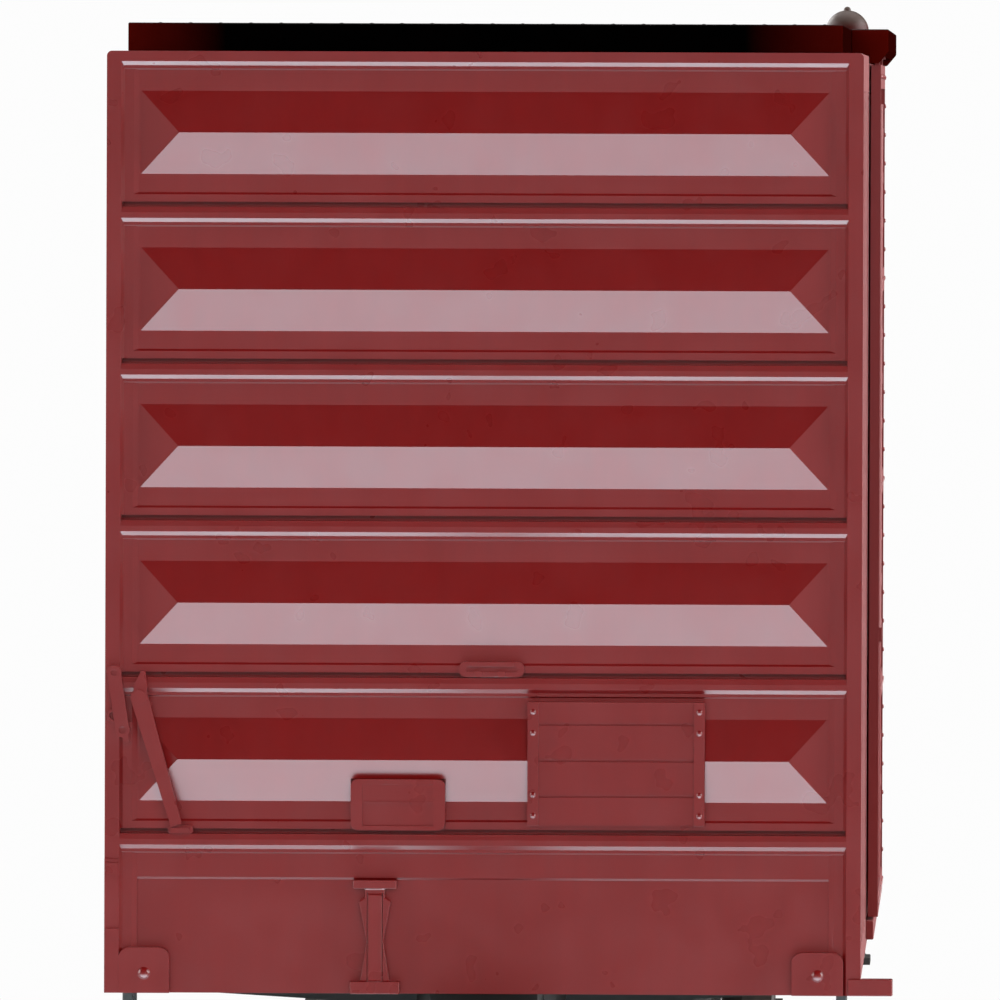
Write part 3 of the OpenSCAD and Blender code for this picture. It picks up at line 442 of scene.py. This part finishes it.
def vent_lit_and_shaded(name):
    """The roof cap's plastic: a grey-brown painted highlight on its dome, and its dark red in painted shade
    round its foot.
    """
    paint = Shader(name)
    low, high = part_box("roof_vent")
    rise = high.z - low.z
    place = paint.split(paint.place.outputs["Object"])
    # below the foot's share the cap is dark red in painted shade, above the dome's share it has a grey-brown
    # painted highlight
    highlight_share = paint.range(place["Z"], low=0.0, high=1.0,
                             start=low.z + FOOT_TO * rise, stop=low.z + DOME_FROM * rise)
    foot, top = [paint.mottle(1.0, tone(c, 0.9), tone(c, 1.1)) for c in (VENT_SHADED_RED, VENT_HIGHLIGHT)]
    paint.colour(paint.mix(highlight_share, foot, top))
    paint.rough(paint.noise(1.0), 0.42, 0.52)
    paint.bsdf.inputs["Specular IOR Level"].default_value = 0.15
    paint.bump(paint.noise(5.0, detail=2.0), 0.003)
    return paint.material


def slot_materials():
    """One material for each of the record's slots, apart from the wheels."""
    return {
        "oxide_plastic": moulded("oxide_plastic", OXIDE, rough=0.29),
        "roof_black": black_roof("roof_black"),
        "frame_plastic": moulded("frame_plastic", FRAME_BLACK, rough=0.48, spread=0.2),
        "truck_plastic": moulded("truck_plastic", TRUCK_BROWN, rough=0.52, spread=0.3),
        "spring_steel": metal("spring_steel", (0.20, 0.19, 0.18), rough=0.40),
        "screw_steel": metal("screw_steel", (0.55, 0.54, 0.51), rough=0.28),
        "axle_steel": metal("axle_steel", (0.30, 0.29, 0.28), rough=0.30, streak=(0.2, 3.0, 3.0)),
        "coupler_metal": metal("coupler_metal", (0.105, 0.075, 0.055), rough=0.42, spread=0.3),
        "spring_bronze": metal("spring_bronze", (0.55, 0.33, 0.14), rough=0.30),
        "weight_steel": metal("weight_steel", (0.42, 0.42, 0.43), rough=0.38, streak=(0.2, 0.05, 1.0)),
    }


def dress_nodes(paints):
    """Gives every CAD node its material, for most of them their slot's, and smooth edges."""
    dull_oxide = moulded("oxide_sides", OXIDE, rough=0.62)
    for entry in frame["record"]["subparts"]:
        name, slot = entry["node"], entry["material_slot"]
        if slot == "wheel_metal":
            paint = wheel_metal(name)
        elif name == "roof_vent":
            # the roof cap gets its painted highlight and painted shade
            paint = vent_lit_and_shaded("vent_lit_and_shaded")
        elif name.startswith(DULL_NODES):
            paint = dull_oxide
        else:
            paint = paints[slot]
        node = NODES[name]
        node.data.materials.clear()
        node.data.materials.append(paint)
        smooth_edges(node, ROUND_MM.get(slot, 0))


def smooth_edges(node, radius):
    """Welds the split corners and rounds the sharp edges, radius in millimetres."""
    weld = node.modifiers.new("weld", "WELD")
    weld.merge_threshold = WELD_GAP
    if radius:
        bevel = node.modifiers.new("round", "BEVEL")
        bevel.width = radius * MM
        bevel.segments = 2
        bevel.limit_method = "ANGLE"
        bevel.angle_limit = SHARP_FROM
        bevel.harden_normals = True
        bevel.use_clamp_overlap = True
        even = node.modifiers.new("even", "WEIGHTED_NORMAL")
        even.keep_sharp = True


# ---------- detail pieces ----------

# Sizes and places are in millimetres from here on; ringed_column, dome and prism take metres

# Rings of a rivet head, and of a bolt or a bar: share of the radius, share of the height
HEAD_RINGS = ((1.0, -0.3), (1.0, 0.15), (0.72, 0.75))
BAR_RINGS = ((1.0, 0.0), (1.0, 0.75), (0.84, 1.0))
HEAD_SIDES = 10

# A face with this many corners or more is a foot or a top, and stays flat
FLAT_CORNERS = 6


def in_mm(name):
    low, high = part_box(name)
    return low / MM, high / MM


def steps(low, high, pitch, margins):
    """Evenly spaced values, about a pitch apart, between low and high less a margin at each."""
    first, last = low + margins[0], high - margins[1]
    count = max(1, round((last - first) / pitch))
    return [first + (last - first) * i / count for i in range(count + 1)]


def turn_to(axis):
    """The turn that lays the upright axis along another."""
    return Vector(UP).rotation_difference(Vector(axis)).to_matrix()


def join_rings(form, rings):
    """Four-cornered faces between each ring of corners and the next."""
    for lower, upper in zip(rings, rings[1:]):
        for i in range(len(lower)):
            j = (i + 1) % len(lower)
            form.faces.new((lower[i], lower[j], upper[j], upper[i]))


def ringed_column(form, at, turn, radius, height, sides, shape):
    """A turned column, closed at its foot and open at its top; returns its top ring."""
    rings = []
    for share, rise in shape:
        ring = []
        for i in range(sides):
            angle = 2 * math.pi * i / sides
            local = Vector((share * radius * math.cos(angle), share * radius * math.sin(angle),
                            rise * height))
            ring.append(form.verts.new(Vector(at) + turn @ local))
        rings.append(ring)
    form.faces.new(list(reversed(rings[0])))
    join_rings(form, rings)
    return rings[-1]


def dome(form, at, normal, radius, height):
    """One low rivet head: a closed dome whose foot is sunk a little in the face that it stands on."""
    turn = turn_to(normal)
    top = ringed_column(form, at, turn, radius, height, HEAD_SIDES, HEAD_RINGS)
    peak = form.verts.new(Vector(at) + turn @ Vector((0, 0, height)))
    for i in range(HEAD_SIDES):
        form.faces.new((top[i], top[(i + 1) % HEAD_SIDES], peak))


def prism(form, at, axis, radius, depth, sides):
    """A closed prism along an axis, from its foot at a point, narrower towards its far end."""
    form.faces.new(ringed_column(form, at, turn_to(axis), radius, depth, sides, BAR_RINGS))


def finish_piece(name, form, body, slot, smooth=True):
    """Turns a bmesh into a piece that rides on a body and has its slot's material."""
    mesh = bpy.data.meshes.new(name)
    bmesh.ops.recalc_face_normals(form, faces=form.faces)
    form.to_mesh(mesh)
    form.free()
    for face in mesh.polygons:
        face.use_smooth = smooth and len(face.vertices) < FLAT_CORNERS
    piece = bpy.data.objects.new(name, mesh)
    bpy.context.scene.collection.objects.link(piece)
    mesh.materials.append(PAINTS[slot])
    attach(piece, body)


def rivets(name, spots, normal, radius, height, body, slot="oxide_plastic"):
    form = bmesh.new()
    for spot in spots:
        dome(form, [v * MM for v in spot], normal, radius * MM, height * MM)
    finish_piece(name, form, body, slot)


# ---------- rivets ----------

# The side posts and the doorway, as the CAD model has them
POSTS = 5
POST_W = 1.3
POST_DEPTH = 0.6
FLANGE_W = 0.35
FLANGE_T = 0.12
DOOR_POST_W = 1.6
CORNER_POST_W = 1.5
DOORWAY_HALF = 17.5

ROOF_PANELS = 12
ROOF_MARGIN = 1.3

# A door: the distance of its face from the centre line, its frame, its panels and the gap under its hood
DOOR_FACE_X = 18.7
DOOR_FRAME_W = 1.2
DOOR_PANELS = 4
HOOD_GAP = 0.08


def side_rivets():
    """Rivet rows down both flanges of every side post."""
    low, high = in_mm("side_right")
    flange_x = high.x - POST_DEPTH + FLANGE_T
    bay = (high.y - DOORWAY_HALF - DOOR_POST_W - CORNER_POST_W) / (POSTS + 1)
    rows = [DOORWAY_HALF + DOOR_POST_W + bay * i for i in range(1, POSTS + 1)]
    off_middle = (POST_W + FLANGE_W) / 2
    heights = steps(low.z, high.z, pitch=1.3, margins=(2.1, 2.5))
    for side, name in SIDES:
        spots = [(side * flange_x, end * (y + edge * off_middle), z)
                 for end in (-1, 1) for y in rows for edge in (-1, 1) for z in heights]
        rivets(f"side_rivets_{name}", spots, (side, 0, 0), radius=0.13, height=0.09, body=BODY)


def roof_rivets():
    """A row of rivets on each seam between two roof panels."""
    low, high = in_mm("roof")
    bay = (high.y - low.y - 2 * ROOF_MARGIN) / ROOF_PANELS
    seams = [low.y + ROOF_MARGIN + bay * i for i in range(1, ROOF_PANELS)]
    columns = steps(low.x, high.x, pitch=1.5, margins=(1.0, 1.0))
    spots = [(x, y, high.z) for y in seams for x in columns]
    rivets("roof_rivets", spots, UP, radius=0.14, height=0.08, body=BODY, slot="roof_black")


def door_rivets():
    """Rivets round each door's frame, apart from the edge with the locking bar."""
    for side, name in SIDES:
        low, high = in_mm(f"door_{name}")
        face_x = side * DOOR_FACE_X
        top_z = in_mm("upper_track_right")[0].z - HOOD_GAP
        pitch = (top_z - low.z - DOOR_FRAME_W) / DOOR_PANELS
        bars = [low.z + DOOR_FRAME_W / 2 + pitch * i for i in range(DOOR_PANELS + 1)]
        along = steps(low.y, high.y, pitch=1.7, margins=(2.2, 1.8))
        up_edge = steps(low.z, top_z, pitch=1.5, margins=(0.6, 0.6))
        spots = [(face_x, y, z) for z in bars for y in along]
        spots += [(face_x, high.y - DOOR_FRAME_W / 2, z) for z in up_edge]
        rivets(f"door_rivets_{name}", spots, (side, 0, 0), radius=0.12, height=0.07,
               body=f"sliding_door_{name}")


# ---------- trucks ----------

# Each truck and its wheelsets
TRUCKS = (("b", (1, 2)), ("a", (3, 4)))

# Bolts: the bearing caps' distance from the centre line, and the circle that the bolts stand on
CAP_X = 13.7
BOLT_CIRCLE_R = 1.16
BOLT_ANGLES = (90, 210, 330)
BOLT_R = 0.21
BOLT_H = 0.20
BOLT_SUNK = 0.05

# Brake shoes stand clear of the treads, and the beam lies just behind them
TREAD_R = 4.81
SHOE_GAP = 0.25
SHOE_R = TREAD_R + SHOE_GAP
SHOE_T = 0.9
SHOE_W = 1.5
SHOE_X = 8.9
SHOE_SPREAD = math.radians(24)
SHOE_PARTS = 8
BEAM_L = 18.8
BEAM_R = 0.34
BEAM_Z = 5.4
BEAM_GAP = 0.05
BEAM_SIDES = 10


def axle_place(number):
    """An axle's middle: along the car and up."""
    low, high = in_mm(f"axle_{number}")
    return (low.y + high.y) / 2, (low.z + high.z) / 2


def bearing_bolts():
    """Three hexagon bolts on each bearing cap of both trucks."""
    for truck, wheelsets in TRUCKS:
        form = bmesh.new()
        for number in wheelsets:
            y, z = axle_place(number)
            for side in (-1, 1):
                for angle in map(math.radians, BOLT_ANGLES):
                    at = Vector((side * (CAP_X - BOLT_SUNK), y + BOLT_CIRCLE_R * math.cos(angle),
                                 z + BOLT_CIRCLE_R * math.sin(angle)))
                    prism(form, at * MM, (side, 0, 0), BOLT_R * MM, BOLT_H * MM, sides=6)
        finish_piece(f"bearing_bolts_{truck}", form, f"truck_{truck}", "truck_plastic", smooth=False)


def curved_shoe(form, centre_x, axle_y, axle_z, way):
    """A brake shoe: a short arc round the wheel, as a closed strip."""
    outer_r = SHOE_R + SHOE_T
    corners = ((-SHOE_W / 2, SHOE_R), (SHOE_W / 2, SHOE_R), (SHOE_W / 2, outer_r), (-SHOE_W / 2, outer_r))
    rings = []
    for i in range(SHOE_PARTS + 1):
        angle = -SHOE_SPREAD + 2 * SHOE_SPREAD * i / SHOE_PARTS
        rings.append([form.verts.new(Vector((centre_x + x, axle_y + way * r * math.cos(angle),
                                             axle_z + r * math.sin(angle))) * MM) for x, r in corners])
    form.faces.new(rings[0])
    form.faces.new(list(reversed(rings[-1])))
    join_rings(form, rings)


def brake_beams():
    """A brake beam and two shoes inside each wheelset, clear of the treads."""
    for truck, wheelsets in TRUCKS:
        form = bmesh.new()
        low, high = in_mm(f"truck_bolster_{truck}")
        middle_y = (low.y + high.y) / 2
        for number in wheelsets:
            axle_y, axle_z = axle_place(number)
            way = 1 if middle_y > axle_y else -1
            for side in (-1, 1):
                curved_shoe(form, side * SHOE_X, axle_y, axle_z, way)
            beam_y = axle_y + way * (SHOE_R + SHOE_T + BEAM_GAP)
            start = Vector((-BEAM_L / 2, beam_y, BEAM_Z))
            prism(form, start * MM, (1, 0, 0), BEAM_R * MM, BEAM_L * MM, BEAM_SIDES)
        finish_piece(f"brake_beams_{truck}", form, f"truck_{truck}", "truck_plastic", smooth=False)


# ---------- build ----------

make_camera()
make_world()
make_lights()
make_floor()
PAINTS = slot_materials()
dress_nodes(PAINTS)
side_rivets()
roof_rivets()
door_rivets()
bearing_bolts()
brake_beams()
bpy.context.scene.view_settings.view_transform = "Standard"
